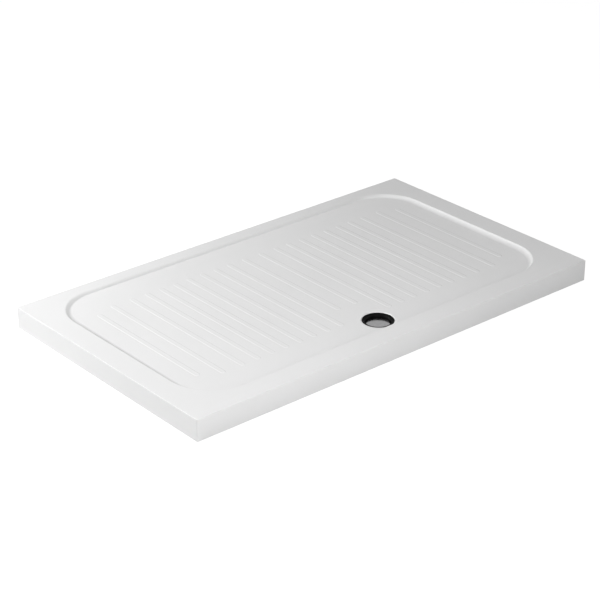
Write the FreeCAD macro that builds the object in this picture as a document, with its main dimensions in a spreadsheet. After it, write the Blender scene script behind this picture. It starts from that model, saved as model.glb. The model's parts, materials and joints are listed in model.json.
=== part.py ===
"""Low ceramic shower tray, 1400 x 800 mm, with its 90 mm waste.

The frame: origin at the centre of the base, +X along the long side, +Y from the front
(drain) side to the back, +Z up. Every size is in millimetres.
"""
import FreeCAD, Part
import math
import os

import Sketcher

# ---------------------------------------------------------------- driving sizes

SIZES = {
    # slab
    "tray_length": 1400.0,
    "tray_width": 800.0,
    "tray_height": 62.0,
    "upright_edge_radius": 3.0,
    "rim_edge_radius": 2.5,
    # recess: rim widths, corner, floor and the two kinds of wall
    "end_rim": 68.0,
    "back_rim": 36.0,
    "front_rim": 64.0,
    "recess_corner_radius": 135.0,
    "recess_depth": 8.7,
    "floor_fall": 0.005,
    "end_crest_radius": 5.0,
    "end_wall_angle": 48.0,
    "side_crest_radius": 11.0,
    "side_wall_angle": 65.0,
    # anti-slip ribs
    "rib_width": 24.0,
    "rib_crown_width": 5.0,
    "rib_height": 0.75,
    "rib_root_depth": 0.1,
    "rib_inner_pair": 30.3,
    "rib_field_start": 86.5,
    "rib_pitch": 48.0,
    "rib_field_count": 7,
    "rib_outer_first": 426.0,
    "rib_outer_second": 489.5,
    "rib_outer_third": 549.0,
    "rib_back_end": 256.0,
    "rib_front_end": -245.0,
    "short_rib_back_end": 234.0,
    "short_rib_front_end": -214.0,
    "inner_rib_front_end": -168.0,
    # underside
    "skirt_thickness": 14.0,
    "slab_underside": 41.0,
    "cavity_corner_radius": 20.0,
    "web_thickness": 8.0,
    "web_draft_width": 3.0,
    "web_ground_gap": 4.0,
    "root_depth": 0.5,
    "edge_overcut": 0.1,
    "cell_columns": 10,
    "cell_rows": 6,
    "chamber_radius": 62.0,
    "chamber_wall": 9.0,
    # drain seat in the ceramic
    "drain_side_offset": 8.7,
    "drain_offset": -275.8,
    "seat_radius": 44.0,
    "seat_ledge_height": 47.0,
    "ceramic_bore_radius": 39.2,
    "drain_edge_radius": 3.5,
    # waste flange
    "seat_clearance": 0.4,
    "flange_gasket_thickness": 1.0,
    "flange_lip_thickness": 3.4,
    "funnel_drop": 3.0,
    "tube_bore_radius": 36.0,
    "tube_outer_radius": 38.6,
    "tube_foot_height": 17.5,
    "tube_ledge_height": 30.0,
    "tube_ledge_bore": 33.2,
    # bowl that clamps the ceramic from below
    "thread_clearance": 0.15,
    "under_gasket_thickness": 2.5,
    "under_gasket_radius": 50.0,
    "bowl_rim_radius": 52.0,
    "bowl_rim_thickness": 5.0,
    "bowl_wall": 4.6,
    "bowl_floor": 2.6,
    "bowl_sides": 12,
    "bowl_depth": 25.0,
    # pipe socket and its slip nut
    "pipe_socket_radius": 20.15,
    "socket_wall": 3.2,
    "socket_foot_height": 3.4,
    "outlet_seal_height": 1.6,
    "outlet_nut_radius": 29.5,
    "outlet_nut_sides": 12,
    "outlet_nut_top": 10.0,
    "outlet_nut_foot": 0.6,
    "outlet_nut_mouth": 20.6,
    # strainer
    "strainer_clearance": 0.4,
    "strainer_thickness": 1.5,
    "strainer_slot_width": 4.0,
    "strainer_slot_inner": 12.0,
    "strainer_slot_outer": 30.0,
    "strainer_slot_count": 10,
    "stem_socket_radius": 6.0,
    "stem_socket_foot": 22.0,
    # cap, its stem and the screw between them
    "cap_radius": 33.5,
    "cap_top_height": 40.4,
    "cap_bevel_width": 1.6,
    "cap_bevel_drop": 0.9,
    "cap_thickness": 2.6,
    "cap_boss_radius": 6.0,
    "stem_radius": 3.5,
    "stem_clearance": 0.05,
    "stem_length": 8.5,
    "screw_radius": 1.4,
    "screw_clearance": 0.05,
    "screw_head_radius": 2.7,
    "screw_head_height": 1.4,
    "screw_grip": 5.0,
    "screw_tip_gap": 0.3,
}

doc = FreeCAD.newDocument("shower_tray")
sheet = doc.addObject("Spreadsheet::Sheet", "Sizes")
for row, (alias, number) in enumerate(SIZES.items(), start=1):
    sheet.set("A%d" % row, alias)
    sheet.set("B%d" % row, str(number))
    sheet.setAlias("B%d" % row, alias)
doc.recompute()


class Measure:
    """A size that knows its number and the sheet expression it comes from."""

    def __init__(self, number, text):
        self.number = number
        self.text = text

    def __add__(self, other):
        other = measure(other)
        return Measure(self.number + other.number, "(%s + %s)" % (self.text, other.text))

    def __sub__(self, other):
        other = measure(other)
        return Measure(self.number - other.number, "(%s - %s)" % (self.text, other.text))

    def __mul__(self, other):
        other = measure(other)
        return Measure(self.number * other.number, "(%s * %s)" % (self.text, other.text))

    def __truediv__(self, other):
        other = measure(other)
        return Measure(self.number / other.number, "(%s / %s)" % (self.text, other.text))

    def __neg__(self):
        return Measure(-self.number, "(0 - %s)" % self.text)


def measure(value):
    """Wrap a plain number, and pass a Measure through."""
    if isinstance(value, Measure):
        return value
    return Measure(float(value), "%r" % value)


def size(alias):
    """The driving size with this name."""
    return Measure(float(SIZES[alias]), "Sizes.%s" % alias)


def root(value):
    return Measure(math.sqrt(value.number), "sqrt(%s)" % value.text)


def cosine(angle):
    return Measure(math.cos(math.radians(angle.number)), "cos(%s)" % angle.text)


def sine(angle):
    return Measure(math.sin(math.radians(angle.number)), "sin(%s)" % angle.text)


def slope_angle(rise_per_run):
    return Measure(math.degrees(math.atan(rise_per_run.number)), "atan(%s)" % rise_per_run.text)


# ---------------------------------------------------------------- sketch and feature helpers

def bind(thing, path, value):
    thing.setExpression(path, value.text)


def origin_plane(body, role):
    return next(item for item in body.Origin.OriginFeatures if item.Role == role)


def attach(thing, body, role, height, tilt):
    """Set a sketch or a plane on one of the body's own planes, lifted and tipped about X."""
    thing.AttachmentSupport = (origin_plane(body, role), "")
    thing.MapMode = "FlatFace"
    if height is not None:
        bind(thing, ".AttachmentOffset.Base.z", height)
    if tilt is not None:
        thing.AttachmentOffset = FreeCAD.Placement(
            FreeCAD.Vector(0, 0, height.number),
            FreeCAD.Rotation(FreeCAD.Vector(1, 0, 0), tilt.number))
        bind(thing, ".AttachmentOffset.Rotation.Angle", tilt)


def new_sketch(body, name, role="XY_Plane", height=None, tilt=None):
    sketch = body.newObject("Sketcher::SketchObject", name)
    attach(sketch, body, role, height, tilt)
    return sketch


def pin_point(sketch, geometry, end, across, up):
    """Fix one end of a sketch line by its two distances from the sketch's origin."""
    for kind, axis, value in (("DistanceX", -2, across), ("DistanceY", -1, up)):
        value = measure(value)
        if value.text == "0.0" or value.text == "0":
            sketch.addConstraint(Sketcher.Constraint("PointOnObject", geometry, end, axis))
            continue
        index = sketch.addConstraint(
            Sketcher.Constraint(kind, -1, 1, geometry, end, value.number))
        bind(sketch, "Constraints[%d]" % index, value)


def draw_polygon(sketch, points):
    """A closed outline of straight lines, each corner pinned to its two measures."""
    corners = [FreeCAD.Vector(measure(a).number, measure(b).number, 0) for a, b in points]
    first = sketch.GeometryCount
    for index, corner in enumerate(corners):
        following = corners[(index + 1) % len(corners)]
        sketch.addGeometry(Part.LineSegment(corner, following), False)
    for index in range(len(corners)):
        following = (index + 1) % len(corners)
        sketch.addConstraint(
            Sketcher.Constraint("Coincident", first + index, 2, first + following, 1))
    for index, (across, up) in enumerate(points):
        pin_point(sketch, first + index, 1, across, up)


def draw_circle(sketch, radius, across=0, up=0):
    centre = FreeCAD.Vector(measure(across).number, measure(up).number, 0)
    index = sketch.addGeometry(
        Part.Circle(centre, FreeCAD.Vector(0, 0, 1), radius.number), False)
    pin_point(sketch, index, 3, across, up)
    bound = sketch.addConstraint(Sketcher.Constraint("Radius", index, radius.number))
    bind(sketch, "Constraints[%d]" % bound, radius)


def draw_rounded_rectangle(sketch, left, right, front, back, radius):
    """Four lines and four tangent arcs; the arc centres and one radius carry the sizes."""
    first = sketch.GeometryCount
    flat = FreeCAD.Vector(0, 0, 1)
    reach = radius.number
    corners = (
        (right - radius, back - radius, 0.0),
        (left + radius, back - radius, 90.0),
        (left + radius, front + radius, 180.0),
        (right - radius, front + radius, 270.0),
    )
    for across, up, start in corners:
        centre = FreeCAD.Vector(across.number, up.number, 0)
        circle = Part.Circle(centre, flat, reach)
        arc = Part.ArcOfCircle(circle, math.radians(start), math.radians(start + 90.0))
        sketch.addGeometry(arc, False)
    for index in range(4):
        this_arc = sketch.Geometry[first + index]
        next_arc = sketch.Geometry[first + (index + 1) % 4]
        sketch.addGeometry(Part.LineSegment(this_arc.EndPoint, next_arc.StartPoint), False)
    for index in range(4):
        line = first + 4 + index
        sketch.addConstraint(Sketcher.Constraint("Tangent", first + index, 2, line, 1))
        sketch.addConstraint(
            Sketcher.Constraint("Tangent", line, 2, first + (index + 1) % 4, 1))
    for index in range(1, 4):
        sketch.addConstraint(Sketcher.Constraint("Equal", first, first + index))
    bound = sketch.addConstraint(Sketcher.Constraint("Radius", first, radius.number))
    bind(sketch, "Constraints[%d]" % bound, radius)
    pin_point(sketch, first, 3, corners[0][0], corners[0][1])
    pin_point(sketch, first + 2, 3, corners[2][0], corners[2][1])


def draw_rib_plan(sketch, across, front, back, width):
    """A straight bar along Y whose ends are half octagons."""
    half = width / 2
    corner = width / (root(measure(2)) + 2)
    draw_polygon(sketch, (
        (across - half + corner, front), (across + half - corner, front),
        (across + half, front + corner), (across + half, back - corner),
        (across + half - corner, back), (across - half + corner, back),
        (across - half, back - corner), (across - half, front + corner)))


def draw_regular_polygon(sketch, radius, sides):
    """A regular outline round the sketch's origin, its corners at the given radius."""
    corners = []
    for index in range(sides):
        angle = measure(360.0 * index / sides)
        corners.append((radius * cosine(angle), radius * sine(angle)))
    draw_polygon(sketch, corners)


def extrude(body, kind, name, sketch, length, backwards=False, both_ways=False):
    feature = body.newObject("PartDesign::%s" % kind, name)
    feature.Profile = sketch
    bind(feature, "Length", length)
    feature.Reversed = backwards
    if both_ways:
        feature.SideType = "Symmetric"
    doc.recompute()
    return feature


def turn(body, kind, name, sketch):
    """Revolve a half section round the body's upright axis."""
    feature = body.newObject("PartDesign::%s" % kind, name)
    feature.Profile = sketch
    feature.ReferenceAxis = (sketch, ["V_Axis"])
    feature.Angle = 360.0
    doc.recompute()
    return feature


def repeat_round(body, name, feature, count):
    pattern = body.newObject("PartDesign::PolarPattern", name)
    pattern.Originals = [feature]
    pattern.Axis = (origin_plane(body, "Z_Axis"), [""])
    pattern.Angle = 360.0
    bind(pattern, "Occurrences", count)
    body.Tip = pattern
    doc.recompute()
    return pattern


def repeat_along(body, name, feature, role, reach, count):
    pattern = body.newObject("PartDesign::LinearPattern", name)
    pattern.Originals = [feature]
    pattern.Direction = (origin_plane(body, role), [""])
    bind(pattern, "Length", reach)
    bind(pattern, "Occurrences", count)
    body.Tip = pattern
    doc.recompute()
    return pattern


def edges_where(feature, wanted):
    """Names of the feature's edges whose middle and length pass the test."""
    names = []
    for index, edge in enumerate(feature.Shape.Edges, start=1):
        middle = edge.valueAt((edge.FirstParameter + edge.LastParameter) / 2)
        if wanted(edge, middle):
            names.append("Edge%d" % index)
    return names


def faces_where(feature, wanted):
    """Names of the feature's faces whose direction and middle pass the test."""
    return ["Face%d" % index for index, face in enumerate(feature.Shape.Faces, start=1)
            if wanted(face.normalAt(0, 0), face.CenterOfMass)]


def draft_sides(body, name, feature, faces, height, tilt, angle):
    """Lean the faces inwards from where they meet a plane at this height."""
    foot = body.newObject("PartDesign::Plane", name + "_foot")
    attach(foot, body, "XY_Plane", height, tilt)
    draft = body.newObject("PartDesign::Draft", name)
    draft.Base = (feature, faces)
    draft.NeutralPlane = (foot, [""])
    bind(draft, "Angle", angle)
    draft.SupportTransform = True
    doc.recompute()
    return draft


def round_edges(body, name, feature, wanted, radius):
    names = edges_where(feature, wanted)
    if not names:
        raise RuntimeError("no edges found for %s" % name)
    fillet = body.newObject("PartDesign::Fillet", name)
    fillet.Base = (feature, names)
    bind(fillet, "Radius", radius)
    doc.recompute()
    return fillet


def new_body(label, on_drain_axis=True):
    body = doc.addObject("PartDesign::Body", label)
    body.Label = label
    if on_drain_axis:
        bind(body, ".Placement.Base.x", size("drain_side_offset"))
        bind(body, ".Placement.Base.y", size("drain_offset"))
    return body


def turned_body(label, section):
    """A piece of the waste, revolved round the drain's axis from one half section."""
    body = new_body(label)
    sketch = new_sketch(body, label + "_section", "XZ_Plane")
    draw_polygon(sketch, section)
    turn(body, "Revolution", label + "_turned", sketch)
    return body


# ---------------------------------------------------------------- levels shared by the pieces

half_length = size("tray_length") / 2
half_width = size("tray_width") / 2
fall_angle = slope_angle(size("floor_fall"))
floor_level = size("tray_height") - size("recess_depth")
drain_centre = (size("drain_side_offset"), size("drain_offset"))
drain_floor = floor_level + size("floor_fall") * size("drain_offset")

lip_under = size("seat_ledge_height") + size("flange_gasket_thickness")
lip_top = lip_under + size("flange_lip_thickness")
lip_radius = size("seat_radius") - size("seat_clearance")
thread_radius = size("tube_outer_radius") + size("thread_clearance")

bowl_top = size("slab_underside") - size("under_gasket_thickness")
bowl_radius = thread_radius + size("bowl_wall")
bowl_inside = bowl_top - size("bowl_depth")
bowl_foot = bowl_inside - size("bowl_floor")
socket_radius = size("pipe_socket_radius") + size("socket_wall")
nut_seat = size("socket_foot_height") - size("outlet_seal_height")

strainer_radius = size("tube_bore_radius") - size("strainer_clearance")
strainer_top = size("tube_ledge_height") + size("strainer_thickness")
stem_hole_radius = size("stem_radius") + size("stem_clearance")

cap_edge_top = size("cap_top_height") - size("cap_bevel_drop")
cap_foot = size("cap_top_height") - size("cap_thickness")
plug_foot = strainer_top - size("stem_length")
screw_hole_radius = size("screw_radius") + size("screw_clearance")
screw_tip = strainer_top + size("screw_grip")


# ---------------------------------------------------------------- the ceramic tray

def wall_inset(depth, crest_radius, wall_angle):
    """How far a recess wall has moved inwards at a depth below the rim.

    The wall is a convex crest arc followed by a concave foot arc, tangent to each
    other where the wall is steepest. The foot radius follows from the recess depth.
    """
    fullness = measure(1) - cosine(wall_angle)
    foot_radius = size("recess_depth") / fullness - crest_radius
    crest_drop = crest_radius * fullness
    if depth.number <= crest_drop.number:
        rise = crest_radius - depth
        return root(crest_radius * crest_radius - rise * rise)
    run = (crest_radius + foot_radius) * sine(wall_angle)
    rise = foot_radius - (size("recess_depth") - depth)
    return run - root(foot_radius * foot_radius - rise * rise)


def recess_section(body, step, share):
    """The recess outline at a share of its depth; its plane tips towards the floor's fall."""
    depth = size("recess_depth") * share
    end_inset = wall_inset(depth, size("end_crest_radius"), size("end_wall_angle"))
    side_inset = wall_inset(depth, size("side_crest_radius"), size("side_wall_angle"))
    sketch = new_sketch(
        body, "recess_section_%d" % step,
        height=size("tray_height") - depth, tilt=fall_angle * share)
    reach = half_length - size("end_rim") - end_inset
    draw_rounded_rectangle(
        sketch, -reach, reach,
        -half_width + size("front_rim") + side_inset,
        half_width - size("back_rim") - side_inset,
        size("recess_corner_radius") - (end_inset + side_inset) / 2)
    return sketch


def cut_recess(body):
    shares = (0.0, 0.1, 0.4, 0.75, 0.95, 1.0)
    sections = [recess_section(body, step, share) for step, share in enumerate(shares)]
    doc.recompute()
    loft = body.newObject("PartDesign::SubtractiveLoft", "recess")
    loft.Profile = sections[0]
    loft.Sections = sections[1:]
    loft.Ruled = True
    doc.recompute()
    return loft


def add_rib(body, name, across, front, back):
    """One anti-slip rib: a pad that starts a little below the floor, its sides drafted."""
    root_level = floor_level - size("rib_root_depth")
    spread = (size("rib_width") - size("rib_crown_width")) / 2
    flank_run = spread / size("rib_height")
    root_spread = size("rib_root_depth") * flank_run
    sketch = new_sketch(body, name + "_plan", height=root_level, tilt=fall_angle)
    draw_rib_plan(sketch, across, front - root_spread, back + root_spread,
                  size("rib_width") + root_spread * 2)
    rib = extrude(body, "Pad", name, sketch, size("rib_root_depth") + size("rib_height"))

    def is_side(normal, middle):
        upright = abs(normal.z) < 0.02
        near = abs(middle.x - across.number) < SIZES["rib_width"]
        return upright and near and middle.z > floor_level.number + middle.y * SIZES["floor_fall"]

    return draft_sides(body, name + "_draft", rib, faces_where(rib, is_side), root_level,
                       fall_angle, slope_angle(flank_run))


def add_ribs(body):
    """A close pair beside the drain, two even fields, and three wider spaced each side."""
    full = (size("rib_front_end"), size("rib_back_end"))
    short = (size("short_rib_front_end"), size("short_rib_back_end"))
    field_reach = size("rib_pitch") * (size("rib_field_count") - 1)
    starts = (("right_field", size("rib_field_start")),
              ("left_field", -size("rib_field_start") - field_reach))
    for name, start in starts:
        first = add_rib(body, name + "_rib", start, full[0], full[1])
        repeat_along(body, name, first, "X_Axis", field_reach, size("rib_field_count"))
    singles = [
        add_rib(body, "inner_rib", size("rib_inner_pair"), size("inner_rib_front_end"), full[1]),
        add_rib(body, "outer_rib_1", size("rib_outer_first"), full[0], full[1]),
        add_rib(body, "outer_rib_2", size("rib_outer_second"), full[0], full[1]),
        add_rib(body, "outer_rib_3", size("rib_outer_third"), short[0], short[1]),
    ]
    mirrored = body.newObject("PartDesign::Mirrored", "mirrored_ribs")
    mirrored.Originals = singles
    mirrored.MirrorPlane = (origin_plane(body, "YZ_Plane"), [""])
    body.Tip = mirrored
    doc.recompute()


def add_webs(body):
    """Two families of tapered webs that cross under the slab."""
    top = size("slab_underside") + size("root_depth")
    foot = size("web_ground_gap")
    half_foot = size("web_thickness") / 2
    half_root = half_foot + size("web_draft_width") / 2
    inside_length = size("tray_length") - size("skirt_thickness") * 2
    inside_width = size("tray_width") - size("skirt_thickness") * 2
    families = (
        ("cross_web", "XZ_Plane", "X_Axis", inside_length, inside_width, "cell_columns"),
        ("long_web", "YZ_Plane", "Y_Axis", inside_width, inside_length, "cell_rows"),
    )
    for name, plane, axis, across, along, count_name in families:
        pitch = across / size(count_name)
        start = -across / 2 + pitch
        sketch = new_sketch(body, name + "_section", plane)
        draw_polygon(sketch, (
            (start - half_foot, foot), (start + half_foot, foot),
            (start + half_root, top), (start - half_root, top)))
        web = extrude(body, "Pad", name, sketch, along + size("root_depth") * 2,
                      both_ways=True)
        repeat_along(body, name + "s", web, axis, pitch * (size(count_name) - 2),
                     size(count_name) - 1)


def round_drain_edge(body):
    """A groove round the drain hole, tipped with the floor, that rounds the hole's edge."""
    sketch = new_sketch(body, "drain_edge_section", "XZ_Plane",
                        height=-size("drain_offset"), tilt=fall_angle)
    bind(sketch, ".AttachmentOffset.Base.x", size("drain_side_offset"))
    bind(sketch, ".AttachmentOffset.Base.y", drain_floor)
    radius = size("drain_edge_radius")
    wall = size("seat_radius")
    over = size("edge_overcut")
    angles = [measure(45.0), measure(90.0)]
    steepness = sine(angles[0]) / (measure(1) - cosine(angles[0]))
    points = [(wall - over, over), (wall - over, -radius - over * steepness)]
    for angle in angles:
        points.append((wall + radius - radius * cosine(angle), radius * sine(angle) - radius))
    points.append((wall + radius, over))
    draw_polygon(sketch, points)
    return turn(body, "Groove", "drain_edge", sketch)


def make_tray():
    body = new_body("tray_body", on_drain_axis=False)
    outline = new_sketch(body, "tray_outline")
    draw_polygon(outline, (
        (-half_length, -half_width), (half_length, -half_width),
        (half_length, half_width), (-half_length, half_width)))
    blank = extrude(body, "Pad", "blank", outline, size("tray_height"))
    top = SIZES["tray_height"]
    rounded = round_edges(
        body, "upright_edges", blank,
        lambda edge, middle: abs(middle.z - top / 2) < 0.1, size("upright_edge_radius"))
    round_edges(
        body, "rim_edges", rounded,
        lambda edge, middle: abs(middle.z - top) < 0.01, size("rim_edge_radius"))
    cut_recess(body)

    cavity = new_sketch(body, "cavity_outline")
    reach = half_length - size("skirt_thickness")
    depth = half_width - size("skirt_thickness")
    draw_rounded_rectangle(cavity, -reach, reach, -depth, depth, size("cavity_corner_radius"))
    doc.recompute()
    extrude(body, "Pocket", "cavity", cavity, size("slab_underside"), backwards=True)
    add_webs(body)

    ring = new_sketch(body, "chamber_ring_plan")
    draw_circle(ring, size("chamber_radius") + size("chamber_wall"), *drain_centre)
    extrude(body, "Pad", "chamber_ring", ring, size("slab_underside") + size("root_depth"))
    chamber = new_sketch(body, "chamber_plan")
    draw_circle(chamber, size("chamber_radius"), *drain_centre)
    extrude(body, "Pocket", "chamber", chamber, size("slab_underside"), backwards=True)

    add_ribs(body)

    bore = new_sketch(body, "bore_plan")
    draw_circle(bore, size("ceramic_bore_radius"), *drain_centre)
    extrude(body, "Pocket", "ceramic_bore", bore, size("tray_height"), backwards=True)
    seat = new_sketch(body, "seat_plan", height=size("seat_ledge_height"))
    draw_circle(seat, size("seat_radius"), *drain_centre)
    extrude(body, "Pocket", "seat", seat, size("tray_height"), backwards=True)
    round_drain_edge(body)
    return body


# ---------------------------------------------------------------- the waste

def make_flange():
    """Black funnel: a lip on the ceramic seat, a cone, and the threaded tube below."""
    return turned_body("waste_flange", (
        (lip_radius, lip_top), (lip_radius, lip_under),
        (size("tube_outer_radius"), lip_under),
        (size("tube_outer_radius"), size("tube_foot_height")),
        (size("tube_ledge_bore"), size("tube_foot_height")),
        (size("tube_ledge_bore"), size("tube_ledge_height")),
        (size("tube_bore_radius"), size("tube_ledge_height")),
        (size("tube_bore_radius"), lip_top - size("funnel_drop"))))


def make_ring(label, inner, outer, foot, top):
    return turned_body(label, ((inner, foot), (outer, foot), (outer, top), (inner, top)))


def make_bowl():
    """Screws on the tube with grip flats outside, clamps the ceramic, ends in a pipe socket."""
    body = new_body("waste_bowl")
    grip = new_sketch(body, "grip_outline", height=bowl_foot)
    draw_regular_polygon(grip, bowl_radius, SIZES["bowl_sides"])
    extrude(body, "Pad", "grip", grip, bowl_top - bowl_foot)
    rim = new_sketch(body, "rim_outline", height=bowl_top - size("bowl_rim_thickness"))
    draw_regular_polygon(rim, size("bowl_rim_radius"), SIZES["bowl_sides"])
    extrude(body, "Pad", "rim", rim, size("bowl_rim_thickness"))
    socket = new_sketch(body, "socket_plan", height=size("socket_foot_height"))
    draw_circle(socket, socket_radius)
    extrude(body, "Pad", "socket", socket, bowl_inside - size("socket_foot_height"))
    hollow = new_sketch(body, "hollow_plan", height=bowl_inside)
    draw_circle(hollow, thread_radius)
    extrude(body, "Pocket", "hollow", hollow, size("bowl_depth"), backwards=True)
    bore = new_sketch(body, "pipe_bore_plan", height=size("socket_foot_height"))
    draw_circle(bore, size("pipe_socket_radius"))
    extrude(body, "Pocket", "pipe_bore", bore, bowl_top - size("socket_foot_height"),
            backwards=True)
    return body


def make_outlet_nut():
    """Slip nut with flat sides and a seat that presses the seal on the pipe."""
    body = new_body("outlet_nut")
    outline = new_sketch(body, "nut_outline", height=size("outlet_nut_foot"))
    draw_regular_polygon(outline, size("outlet_nut_radius"), SIZES["outlet_nut_sides"])
    extrude(body, "Pad", "nut_blank", outline, size("outlet_nut_top") - size("outlet_nut_foot"))
    mouth = new_sketch(body, "mouth_plan")
    draw_circle(mouth, size("outlet_nut_mouth"))
    extrude(body, "Pocket", "mouth", mouth, size("outlet_nut_top"), backwards=True)
    thread = new_sketch(body, "thread_plan", height=nut_seat)
    draw_circle(thread, socket_radius + size("thread_clearance"))
    extrude(body, "Pocket", "thread_bore", thread, size("outlet_nut_top"), backwards=True)
    return body


def make_strainer():
    """Slotted plate on the tube's ledge, with the socket for the cap's stem in its middle."""
    body = turned_body("strainer", (
        (stem_hole_radius, size("stem_socket_foot")),
        (size("stem_socket_radius"), size("stem_socket_foot")),
        (size("stem_socket_radius"), size("tube_ledge_height")),
        (strainer_radius, size("tube_ledge_height")), (strainer_radius, strainer_top),
        (stem_hole_radius, strainer_top)))
    slot = new_sketch(body, "slot_plan", height=size("tube_ledge_height"))
    half = size("strainer_slot_width") / 2
    inner = size("strainer_slot_inner")
    outer = size("strainer_slot_outer")
    draw_polygon(slot, ((inner, -half), (outer, -half), (outer, half), (inner, half)))
    cut = extrude(body, "Pocket", "slot", slot, size("strainer_thickness"), backwards=True)
    repeat_round(body, "slots", cut, size("strainer_slot_count"))
    return body


def make_stem():
    """Plug under the cap's boss that fits the strainer's socket."""
    return make_ring("cover_stem", screw_hole_radius, size("stem_radius"),
                     plug_foot, strainer_top)


def make_cap():
    """A thick disc with a bevelled edge, and a boss that stands on the strainer."""
    hole_top = screw_tip + size("screw_tip_gap")
    return turned_body("drain_cover", (
        (0, size("cap_top_height")),
        (size("cap_radius") - size("cap_bevel_width"), size("cap_top_height")),
        (size("cap_radius"), cap_edge_top), (size("cap_radius"), cap_foot),
        (size("cap_boss_radius"), cap_foot), (size("cap_boss_radius"), strainer_top),
        (screw_hole_radius, strainer_top), (screw_hole_radius, hole_top), (0, hole_top)))


def make_screw():
    """Goes up through the stem from below and grips in the cap's boss."""
    head_foot = plug_foot - size("screw_head_height")
    return turned_body("cover_screw", (
        (0, head_foot), (size("screw_head_radius"), head_foot),
        (size("screw_head_radius"), plug_foot), (size("screw_radius"), plug_foot),
        (size("screw_radius"), screw_tip), (0, screw_tip)))


pieces = [
    make_tray(),
    make_flange(),
    make_ring("flange_gasket", size("ceramic_bore_radius"), lip_radius,
              size("seat_ledge_height"), lip_under),
    make_ring("under_gasket", size("ceramic_bore_radius"), size("under_gasket_radius"),
              bowl_top, size("slab_underside")),
    make_bowl(),
    make_ring("outlet_seal", size("pipe_socket_radius"), socket_radius,
              nut_seat, size("socket_foot_height")),
    make_outlet_nut(),
    make_strainer(),
    make_stem(),
    make_cap(),
    make_screw(),
]
doc.recompute()

# ---------------------------------------------------------------- checks and export

for item in doc.Objects:
    if "Invalid" in item.State or "Error" in item.State:
        raise RuntimeError("%s did not build: %s" % (item.Label, item.State))
for piece in pieces:
    if piece.Shape.isNull() or not piece.Shape.isValid():
        raise RuntimeError("%s has no valid shape" % piece.Label)

os.makedirs("parts", exist_ok=True)
for piece in pieces:
    piece.Shape.exportStep(os.path.join("parts", piece.Label + ".step"))
    box = piece.Shape.BoundBox
    print("%-14s solids %d  volume %.0f mm3  z %.2f to %.2f" % (
        piece.Label, len(piece.Shape.Solids), piece.Shape.Volume, box.ZMin, box.ZMax))
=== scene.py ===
"""Looks of the ceramic shower tray: a glazed shell, a black waste and a chrome cap.

Everything is in metres in the part's own frame: origin at the centre of the base, +X along
the long side, +Y from the drain side to the back, +Z up.
"""
import json
import math

import bmesh
import bpy
import numpy as np
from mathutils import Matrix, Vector


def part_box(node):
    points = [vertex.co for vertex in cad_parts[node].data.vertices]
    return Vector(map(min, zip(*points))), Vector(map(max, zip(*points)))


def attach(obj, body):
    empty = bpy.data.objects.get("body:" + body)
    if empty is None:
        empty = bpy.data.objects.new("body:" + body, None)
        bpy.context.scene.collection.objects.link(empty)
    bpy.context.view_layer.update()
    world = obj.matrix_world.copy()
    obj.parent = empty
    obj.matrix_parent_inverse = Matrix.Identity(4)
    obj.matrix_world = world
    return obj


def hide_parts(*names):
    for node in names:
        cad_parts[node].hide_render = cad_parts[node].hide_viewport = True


MM = 0.001

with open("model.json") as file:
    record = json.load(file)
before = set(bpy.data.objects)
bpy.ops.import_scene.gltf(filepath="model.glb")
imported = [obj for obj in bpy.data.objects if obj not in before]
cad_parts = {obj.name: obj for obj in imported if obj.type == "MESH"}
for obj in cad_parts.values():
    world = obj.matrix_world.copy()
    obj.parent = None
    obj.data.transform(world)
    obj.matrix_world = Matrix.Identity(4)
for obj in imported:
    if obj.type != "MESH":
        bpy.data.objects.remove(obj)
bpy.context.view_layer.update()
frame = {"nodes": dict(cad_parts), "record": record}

# ---------------------------------------------------------------- sizes of the glazed surface

TRAY_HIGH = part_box("tray_body")[1]
HALF_LENGTH = TRAY_HIGH.x
HALF_WIDTH = TRAY_HIGH.y
RIM_LEVEL = TRAY_HIGH.z
UPRIGHT_RADIUS = 3.0 * MM
RIM_EDGE_RADIUS = 1.2 * MM

END_RIM = 68.0 * MM
BACK_RIM = 36.0 * MM
FRONT_RIM = 64.0 * MM
RECESS_CORNER = 135.0 * MM
RECESS_DEPTH = 8.7 * MM
FLOOR_FALL = 0.005
END_CREST, END_ANGLE = 3.0 * MM, math.radians(46.0)
BACK_CREST, BACK_ANGLE = 15.0 * MM, math.radians(58.0)
FRONT_CREST, FRONT_ANGLE = 5.0 * MM, math.radians(78.0)

RIB_WIDTH = 17.4 * MM
RIB_CROWN = 11.2 * MM
RIB_HEIGHT = 0.55 * MM
# Distance from the middle, front end and back end of each rib on the right, in millimetres.
RIB_PLACES = (
    [(30.3, -166.0, 254.0)]
    + [(86.5 + 48.0 * index, -243.0, 254.0) for index in range(7)]
    + [(426.0, -243.0, 254.0), (489.5, -243.0, 254.0), (549.0, -212.0, 232.0)])

DRAIN = Vector((0.0087, -0.2758, 0.0))
SEAT_RADIUS = 44.0 * MM
DRAIN_EDGE = 3.5 * MM
SEAT_LEDGE = 47.0 * MM
BORE_RADIUS = 39.2 * MM
SLAB_UNDERSIDE = 41.0 * MM
SKIRT = 14.0 * MM

CORNER_STEPS = 24
WALL_STEPS = 16
RIM_EDGE_STEPS = 6
DRAIN_EDGE_STEPS = 8
RIB_STEPS = 10
RIB_END_STEPS = 16
ROUND_STEPS = 96

WELD = 0.001 * MM
ON_PLANE = 0.05 * MM
LATHE_SHARP_DEGREES = 28.0
SHELL_SHARP_DEGREES = 32.0


# ---------------------------------------------------------------- mesh helpers

def floor_level(y):
    return RIM_LEVEL - RECESS_DEPTH + FLOOR_FALL * y


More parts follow.
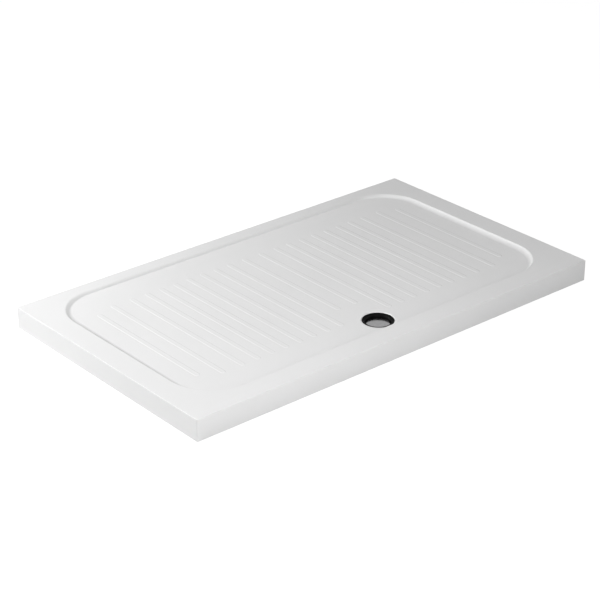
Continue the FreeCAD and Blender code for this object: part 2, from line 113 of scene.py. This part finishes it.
def rounded_rectangle(left, right, front, back, radius, level):
    """One loop of points, counter-clockwise seen from above; level is a function of y."""
    points = []
    corners = (
        (right - radius, back - radius, 0.0), (left + radius, back - radius, 0.5),
        (left + radius, front + radius, 1.0), (right - radius, front + radius, 1.5))
    for across, up, start in corners:
        for step in range(CORNER_STEPS + 1):
            angle = math.pi * (start + 0.5 * step / CORNER_STEPS)
            y = up + radius * math.sin(angle)
            points.append((across + radius * math.cos(angle), y, level(y)))
    return points


def circle(centre, radius, level):
    """One loop round an upright axis, counter-clockwise seen from above."""
    points = []
    for step in range(ROUND_STEPS):
        angle = 2.0 * math.pi * step / ROUND_STEPS
        y = centre.y + radius * math.sin(angle)
        points.append((centre.x + radius * math.cos(angle), y, level(y)))
    return points


def add_loop(bm, points):
    return [bm.verts.new(point) for point in points]


def join_loops(bm, outer, inner):
    """Quads between two loops of equal length."""
    count = len(outer)
    for index in range(count):
        following = (index + 1) % count
        bm.faces.new((outer[index], outer[following], inner[following], inner[index]))


def loop_edges(bm, loop):
    count = len(loop)
    return [bm.edges.get((loop[index], loop[(index + 1) % count])) for index in range(count)]


def finish_mesh(name, bm, sharp_degrees):
    """A new object whose faces are smooth up to the given angle, weighted by their area."""
    mesh = bpy.data.meshes.new(name)
    bm.to_mesh(mesh)
    bm.free()
    mesh.polygons.foreach_set("use_smooth", [True] * len(mesh.polygons))
    mesh.set_sharp_from_angle(angle=math.radians(sharp_degrees))
    piece = bpy.data.objects.new(name, mesh)
    bpy.context.scene.collection.objects.link(piece)
    weighted = piece.modifiers.new("weighted", "WEIGHTED_NORMAL")
    weighted.keep_sharp = True
    weighted.weight = 100
    return piece


def lathe(name, section, centre):
    """A closed section of (radius, height) turned round an upright axis."""
    bm = bmesh.new()
    rings = [add_loop(bm, circle(centre, radius, lambda y, z=height: z))
             for radius, height in section]
    for index, ring in enumerate(rings):
        join_loops(bm, ring, rings[(index + 1) % len(rings)])
    bmesh.ops.remove_doubles(bm, verts=bm.verts, dist=WELD)
    bmesh.ops.recalc_face_normals(bm, faces=bm.faces)
    return finish_mesh(name, bm, LATHE_SHARP_DEGREES)


def arc(centre_radius, centre_height, radius, start, end, steps):
    """Points of a round stretch of a section, its angles in degrees."""
    points = []
    for step in range(steps + 1):
        angle = math.radians(start + (end - start) * step / steps)
        points.append((centre_radius + radius * math.cos(angle),
                       centre_height + radius * math.sin(angle)))
    return points


# ---------------------------------------------------------------- the glazed shell

def wall_inset(depth, crest, angle):
    """How far a recess wall has moved inwards: a crest arc, then a foot arc."""
    fullness = 1.0 - math.cos(angle)
    foot = RECESS_DEPTH / fullness - crest
    if depth <= crest * fullness:
        return math.sqrt(crest ** 2 - (crest - depth) ** 2)
    rise = foot - (RECESS_DEPTH - depth)
    return (crest + foot) * math.sin(angle) - math.sqrt(max(foot ** 2 - rise ** 2, 0.0))


def outer_loop(bm, inset, height):
    return add_loop(bm, rounded_rectangle(
        -HALF_LENGTH + inset, HALF_LENGTH - inset, -HALF_WIDTH + inset, HALF_WIDTH - inset,
        UPRIGHT_RADIUS - inset, lambda y: height))


def recess_loop(bm, share):
    depth = RECESS_DEPTH * share
    end = wall_inset(depth, END_CREST, END_ANGLE)
    back = wall_inset(depth, BACK_CREST, BACK_ANGLE)
    front = wall_inset(depth, FRONT_CREST, FRONT_ANGLE)
    reach = HALF_LENGTH - END_RIM - end
    return add_loop(bm, rounded_rectangle(
        -reach, reach, -HALF_WIDTH + FRONT_RIM + front, HALF_WIDTH - BACK_RIM - back,
        RECESS_CORNER - (2 * end + front + back) / 4,
        lambda y: RIM_LEVEL - depth + FLOOR_FALL * share * y))


def rib_loop(bm, across, front, back, share):
    """One outline of a rib, from its foot at share 0 to its crown at share 1."""
    spread = (RIB_WIDTH - RIB_CROWN) / 2
    radius = RIB_WIDTH / 2 - spread * share
    rise = RIB_HEIGHT * share * share * (3.0 - 2.0 * share)
    points = []
    for up, start in ((back - RIB_WIDTH / 2, 0.0), (front + RIB_WIDTH / 2, 1.0)):
        for step in range(RIB_END_STEPS + 1):
            angle = math.pi * (start + step / RIB_END_STEPS)
            y = up + radius * math.sin(angle)
            points.append((across + radius * math.cos(angle), y, floor_level(y) + rise))
    return add_loop(bm, points)


def add_rib(bm, across, front, back):
    """Raises one rib and returns the loop that the floor ends on."""
    foot = rib_loop(bm, across, front, back, 0.0)
    below = foot
    for step in range(1, RIB_STEPS + 1):
        above = rib_loop(bm, across, front, back, step / RIB_STEPS)
        join_loops(bm, below, above)
        below = above
    half = RIB_END_STEPS + 1
    for index in range(half - 1):
        bm.faces.new((below[index], below[index + 1],
                      below[2 * half - 2 - index], below[2 * half - 1 - index]))
    return foot


def add_drain(bm):
    """Rounded edge, seat wall, ledge; returns the floor's loop and the ledge's inner loop."""
    first = add_loop(bm, circle(DRAIN, SEAT_RADIUS + DRAIN_EDGE, floor_level))
    above = first
    for step in range(1, DRAIN_EDGE_STEPS + 1):
        angle = math.pi / 2 * step / DRAIN_EDGE_STEPS
        drop = DRAIN_EDGE * (1.0 - math.cos(angle))
        below = add_loop(bm, circle(
            DRAIN, SEAT_RADIUS + DRAIN_EDGE * (1.0 - math.sin(angle)),
            lambda y: floor_level(y) - drop))
        join_loops(bm, above, below)
        above = below
    for radius in (SEAT_RADIUS, BORE_RADIUS):
        below = add_loop(bm, circle(DRAIN, radius, lambda y: SEAT_LEDGE))
        join_loops(bm, above, below)
        above = below
    return first, above


def add_underside(bm):
    """Copies the cavity, webs and drain boss of the frame's own tray.

    Returns the copy's open edges: those at the skirt's foot and those round the bore.
    """
    source = bmesh.new()
    source.from_mesh(frame["nodes"]["tray_body"].data)
    bmesh.ops.remove_doubles(source, verts=source.verts, dist=WELD)

    def inside(vert):
        return (abs(vert.co.x) < HALF_LENGTH - SKIRT + ON_PLANE
                and abs(vert.co.y) < HALF_WIDTH - SKIRT + ON_PLANE
                and vert.co.z < SLAB_UNDERSIDE + ON_PLANE)

    copies = {}
    made = []
    for face in source.faces:
        if not all(inside(vert) for vert in face.verts):
            continue
        for vert in face.verts:
            if vert not in copies:
                copies[vert] = bm.verts.new(vert.co)
        made.append(bm.faces.new([copies[vert] for vert in face.verts]))
    source.free()
    open_edges = list(dict.fromkeys(
        edge for face in made for edge in face.edges if edge.is_boundary))
    foot = [edge for edge in open_edges if all(vert.co.z < ON_PLANE for vert in edge.verts)]
    bore = [edge for edge in open_edges if edge not in foot]
    return foot, bore


def make_shell():
    bm = bmesh.new()
    base = outer_loop(bm, 0.0, 0.0)
    below = outer_loop(bm, 0.0, RIM_LEVEL - RIM_EDGE_RADIUS)
    join_loops(bm, base, below)
    for step in range(1, RIM_EDGE_STEPS + 1):
        angle = math.pi / 2 * step / RIM_EDGE_STEPS
        above = outer_loop(bm, RIM_EDGE_RADIUS * (1.0 - math.cos(angle)),
                           RIM_LEVEL - RIM_EDGE_RADIUS * (1.0 - math.sin(angle)))
        join_loops(bm, below, above)
        below = above
    for step in range(WALL_STEPS + 1):
        share = (1.0 - math.cos(math.pi * step / WALL_STEPS)) / 2
        inner = recess_loop(bm, share)
        join_loops(bm, below, inner)
        below = inner
    floor_edges = loop_edges(bm, below)
    for across, front, back in RIB_PLACES:
        for side in (1, -1):
            foot = add_rib(bm, side * across * MM, front * MM, back * MM)
            floor_edges += loop_edges(bm, foot)
    hole, ledge = add_drain(bm)
    floor_edges += loop_edges(bm, hole)
    bmesh.ops.triangle_fill(bm, use_beauty=True, edges=floor_edges, normal=(0.0, 0.0, 1.0))
    foot_edges, bore_edges = add_underside(bm)
    bmesh.ops.triangle_fill(bm, use_beauty=True, edges=foot_edges + loop_edges(bm, base),
                            normal=(0.0, 0.0, -1.0))
    bmesh.ops.bridge_loops(bm, edges=bore_edges + loop_edges(bm, ledge))
    bmesh.ops.recalc_face_normals(bm, faces=bm.faces)
    open_count = sum(1 for edge in bm.edges if not edge.is_manifold)
    print("shell: %d faces, %d open edges" % (len(bm.faces), open_count))
    return finish_mesh("glazed_shell", bm, SHELL_SHARP_DEGREES)


# ---------------------------------------------------------------- the waste's visible pieces

def make_funnel():
    """Black flange: a soft lip, a cone and the tube, with the strainer's ledge inside."""
    low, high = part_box("waste_flange")
    lip = (high.x - low.x) / 2
    top = high.z
    tube, bore, ledge_bore = 38.6 * MM, 36.0 * MM, 33.2 * MM
    lip_under, ledge = 48.0 * MM, 30.0 * MM
    rounding, rounding_end, rounding_steps = 0.7 * MM, 112.0, 6
    bore_edge = [(bore + 1.2 * MM, top - 2.55 * MM), (bore + 0.4 * MM, top - 2.95 * MM),
                 (bore, top - 3.6 * MM)]
    section = [(ledge_bore, low.z), (tube, low.z), (tube, lip_under), (lip, lip_under)]
    section += arc(lip - rounding, top - rounding, rounding, 0.0, rounding_end, rounding_steps)
    section += bore_edge + [(bore, ledge), (ledge_bore, ledge)]
    return lathe("funnel", section, DRAIN)


def make_cap():
    """Chrome cap: slightly domed, with a rounded shoulder, and the boss that its screw grips."""
    low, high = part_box("drain_cover")
    radius, top = (high.x - low.x) / 2, high.z
    disc_foot, boss_foot = top - 2.6 * MM, low.z
    shoulder, dome = 1.1 * MM, 0.3 * MM
    shoulder_start, shoulder_steps, crown_steps = 80.0, 7, 12
    boss, hole, hole_top = 6.0 * MM, 1.45 * MM, 36.8 * MM
    foot_bevel, boss_bevel = 0.3 * MM, 0.8 * MM
    crown = radius - shoulder
    section = []
    for step in range(crown_steps + 1):
        share = step / crown_steps
        section.append((crown * share, top - dome * share ** 2))
    section += arc(crown, top - dome - shoulder, shoulder, shoulder_start, 0.0, shoulder_steps)
    section += [(radius, disc_foot + foot_bevel), (radius - foot_bevel, disc_foot)]
    section += [(boss + boss_bevel, disc_foot), (boss, disc_foot - boss_bevel)]
    section += [(boss, boss_foot), (hole, boss_foot), (hole, hole_top), (0.0, hole_top)]
    return lathe("chrome_cap", section, DRAIN)


# ---------------------------------------------------------------- materials

NOISE_LOW, NOISE_HIGH = 0.3, 0.7


def new_material(name):
    material = bpy.data.materials.new(name)
    material.use_nodes = True
    nodes = material.node_tree.nodes
    return material, nodes, material.node_tree.links, nodes["Principled BSDF"]


def grey(level):
    return (level, level, level, 1.0)


def add_noise(nodes, links, scale, detail):
    place = nodes.new("ShaderNodeTexCoord")
    noise = nodes.new("ShaderNodeTexNoise")
    noise.inputs["Scale"].default_value = scale
    noise.inputs["Detail"].default_value = detail
    links.new(place.outputs["Object"], noise.inputs["Vector"])
    return noise.outputs["Fac"]


def spread(nodes, links, value, low, high):
    """Maps a noise value on to a range of numbers."""
    mapped = nodes.new("ShaderNodeMapRange")
    mapped.inputs["From Min"].default_value = NOISE_LOW
    mapped.inputs["From Max"].default_value = NOISE_HIGH
    mapped.inputs["To Min"].default_value = low
    mapped.inputs["To Max"].default_value = high
    links.new(value, mapped.inputs["Value"])
    return mapped.outputs["Result"]


def tint(nodes, links, value, first, second):
    """Maps a noise value on to a range between two colours."""
    ramp = nodes.new("ShaderNodeValToRGB")
    ends = ramp.color_ramp.elements
    ends[0].position, ends[1].position = NOISE_LOW, NOISE_HIGH
    ends[0].color, ends[1].color = first, second
    links.new(value, ramp.inputs["Fac"])
    return ramp.outputs["Color"]


def bump(nodes, links, height, distance, strength):
    node = nodes.new("ShaderNodeBump")
    node.inputs["Distance"].default_value = distance
    node.inputs["Strength"].default_value = strength
    links.new(height, node.inputs["Height"])
    return node.outputs["Normal"]


def glaze():
    """White sanitary glaze: faint cloudiness and very soft waves."""
    material, nodes, links, shader = new_material("ceramic_glaze")
    cloud = add_noise(nodes, links, scale=5.0, detail=3.0)
    wave = add_noise(nodes, links, scale=9.0, detail=1.0)
    links.new(tint(nodes, links, cloud, grey(0.80), grey(0.815)), shader.inputs["Base Color"])
    links.new(spread(nodes, links, cloud, 0.30, 0.31), shader.inputs["Roughness"])
    links.new(bump(nodes, links, wave, distance=0.4 * MM, strength=0.1),
              shader.inputs["Normal"])
    shader.inputs["IOR"].default_value = 1.5
    return material


def moulded_black():
    """Black moulded plastic, matt with a fine grain."""
    material, nodes, links, shader = new_material("black_abs")
    grain = add_noise(nodes, links, scale=900.0, detail=4.0)
    sheen = add_noise(nodes, links, scale=60.0, detail=3.0)
    links.new(tint(nodes, links, grain, grey(0.001), grey(0.002)), shader.inputs["Base Color"])
    links.new(spread(nodes, links, sheen, 0.45, 0.6), shader.inputs["Roughness"])
    links.new(bump(nodes, links, grain, distance=0.04 * MM, strength=0.3),
              shader.inputs["Normal"])
    shader.inputs["Specular IOR Level"].default_value = 0.1
    return material


def chrome():
    """Bright plating with faint wipe marks."""
    material, nodes, links, shader = new_material("chrome_plate")
    shader.inputs["Metallic"].default_value = 1.0
    wipes = add_noise(nodes, links, scale=120.0, detail=6.0)
    scratches = add_noise(nodes, links, scale=1500.0, detail=3.0)
    links.new(tint(nodes, links, wipes, (0.72, 0.72, 0.73, 1.0), (0.78, 0.78, 0.79, 1.0)),
              shader.inputs["Base Color"])
    links.new(spread(nodes, links, wipes, 0.14, 0.22), shader.inputs["Roughness"])
    links.new(bump(nodes, links, scratches, distance=0.01 * MM, strength=0.2),
              shader.inputs["Normal"])
    return material


def rubber():
    """Matt dark grey rubber with a fine dusty speckle."""
    material, nodes, links, shader = new_material("grey_rubber")
    speckle = add_noise(nodes, links, scale=1400.0, detail=6.0)
    links.new(tint(nodes, links, speckle, (0.030, 0.030, 0.031, 1.0), (0.055, 0.055, 0.056, 1.0)),
              shader.inputs["Base Color"])
    links.new(spread(nodes, links, speckle, 0.62, 0.8), shader.inputs["Roughness"])
    links.new(bump(nodes, links, speckle, distance=0.06 * MM, strength=0.4),
              shader.inputs["Normal"])
    return material


def plain_steel():
    """Turned steel with fine marks."""
    material, nodes, links, shader = new_material("steel_screw")
    shader.inputs["Metallic"].default_value = 1.0
    marks = add_noise(nodes, links, scale=2500.0, detail=4.0)
    links.new(tint(nodes, links, marks, (0.50, 0.50, 0.49, 1.0), (0.62, 0.62, 0.61, 1.0)),
              shader.inputs["Base Color"])
    links.new(spread(nodes, links, marks, 0.28, 0.4), shader.inputs["Roughness"])
    return material


def wear(piece, material):
    piece.data.materials.clear()
    piece.data.materials.append(material)


# ---------------------------------------------------------------- the object

MATERIALS = {
    "ceramic_glaze": glaze(), "black_abs": moulded_black(), "chrome_plate": chrome(),
    "grey_rubber": rubber(), "steel_screw": plain_steel()}

for entry in frame["record"]["subparts"]:
    wear(frame["nodes"][entry["node"]], MATERIALS[entry["material_slot"]])

MADE = (
    (make_shell, "tray_body", "tray", "ceramic_glaze"),
    (make_funnel, "waste_flange", "tray", "black_abs"),
    (make_cap, "drain_cover", "cover_unit", "chrome_plate"),
)
for make, node, body, slot in MADE:
    made_piece = make()
    wear(made_piece, MATERIALS[slot])
    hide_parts(node)
    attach(made_piece, body)

# ---------------------------------------------------------------- floor, light and camera

FLOOR_REACH = 30.0
FLOOR_DROP = 0.5 * MM
WHITE = 1.0
LIGHT_AIM = Vector((0.0, 0.0, 0.03))


def make_floor():
    """A plain pale floor that the camera sees as white, with a faint shadow."""
    mesh = bpy.data.meshes.new("floor")
    corners = [(-1, -1), (1, -1), (1, 1), (-1, 1)]
    mesh.from_pydata([(x * FLOOR_REACH, y * FLOOR_REACH, 0.0) for x, y in corners],
                     [], [(0, 1, 2, 3)])
    floor = bpy.data.objects.new("floor", mesh)
    floor.location.z = -FLOOR_DROP
    bpy.context.scene.collection.objects.link(floor)
    material, nodes, links, shader = new_material("floor")
    shader.inputs["Base Color"].default_value = grey(0.6)
    shader.inputs["Roughness"].default_value = 1.0
    shader.inputs["Specular IOR Level"].default_value = 0.0
    seen = nodes.new("ShaderNodeLightPath")
    glow = nodes.new("ShaderNodeEmission")
    glow.inputs["Strength"].default_value = 0.93
    matt = nodes.new("ShaderNodeBsdfDiffuse")
    matt.inputs["Color"].default_value = grey(0.25)
    both = nodes.new("ShaderNodeAddShader")
    links.new(glow.outputs[0], both.inputs[0])
    links.new(matt.outputs[0], both.inputs[1])
    mix = nodes.new("ShaderNodeMixShader")
    links.new(seen.outputs["Is Camera Ray"], mix.inputs["Fac"])
    links.new(shader.outputs[0], mix.inputs[1])
    links.new(both.outputs[0], mix.inputs[2])
    links.new(mix.outputs[0], nodes["Material Output"].inputs["Surface"])
    mesh.materials.append(material)


def switch(nodes, links, ray, strength, otherwise):
    """One strength for rays of one kind; a number or another node's result for the rest."""
    step = nodes.new("ShaderNodeMapRange")
    step.inputs["To Max"].default_value = strength
    if isinstance(otherwise, float):
        step.inputs["To Min"].default_value = otherwise
    else:
        links.new(otherwise, step.inputs["To Min"])
    links.new(ray, step.inputs["Value"])
    return step.outputs["Result"]


def make_world(ambient, mirrored):
    """White to the camera, with a strength of its own for soft light and for reflections."""
    world = bpy.data.worlds.new("studio")
    bpy.context.scene.world = world
    world.use_nodes = True
    nodes, links = world.node_tree.nodes, world.node_tree.links
    rays = nodes.new("ShaderNodeLightPath").outputs
    strength = switch(nodes, links, rays["Is Glossy Ray"], mirrored, ambient)
    strength = switch(nodes, links, rays["Is Transmission Ray"], WHITE, strength)
    strength = switch(nodes, links, rays["Is Camera Ray"], WHITE, strength)
    links.new(strength, nodes["Background"].inputs["Strength"])
    nodes["Background"].inputs["Color"].default_value = grey(1.0)


def make_light(name, place, width, power):
    """A round softbox that faces the middle of the tray: metres and watts."""
    data = bpy.data.lights.new(name, "AREA")
    data.shape = "DISK"
    data.size = width
    data.energy = power
    light = bpy.data.objects.new(name, data)
    light.location = place
    towards = LIGHT_AIM - Vector(place)
    light.rotation_euler = towards.to_track_quat("-Z", "Y").to_euler()
    bpy.context.scene.collection.objects.link(light)


def make_camera():
    """The photograph's view, fitted to the tray's corners."""
    azimuth, elevation = math.radians(-40.40), math.radians(26.43)
    distance = 5.1759
    target = Vector((-0.0077, 0.0287, 0.001))
    back = Vector((math.sin(azimuth) * math.cos(elevation),
                   -math.cos(azimuth) * math.cos(elevation), math.sin(elevation)))
    data = bpy.data.cameras.new("camera")
    data.sensor_width = 36.0
    data.lens = 110.68
    data.clip_end = 100.0
    camera = bpy.data.objects.new("camera", data)
    camera.location = target + back * distance
    camera.rotation_euler = (-back).to_track_quat("-Z", "Y").to_euler()
    bpy.context.scene.collection.objects.link(camera)
    bpy.context.scene.camera = camera


LIGHTS = (
    ("softbox_left", (-1.90, 1.10, 1.61), 2.6, 51.05),
    ("softbox_back", (-1.30, 1.50, 1.90), 2.0, 24.86),
    ("top_left", (-0.90, 0.20, 2.40), 1.6, 3.00),
    ("front_left_fill", (-1.00, -1.90, 1.00), 1.6, 11.97),
    ("low_front_fill", (-0.37, -1.18, 0.21), 1.54, 5.40),
    ("front_right_fill", (1.60, -1.60, 0.90), 1.6, 8.68),
)

make_floor()
make_world(ambient=0.150, mirrored=0.42)
for light in LIGHTS:
    make_light(*light)
make_camera()
bpy.context.scene.view_settings.view_transform = "Standard"
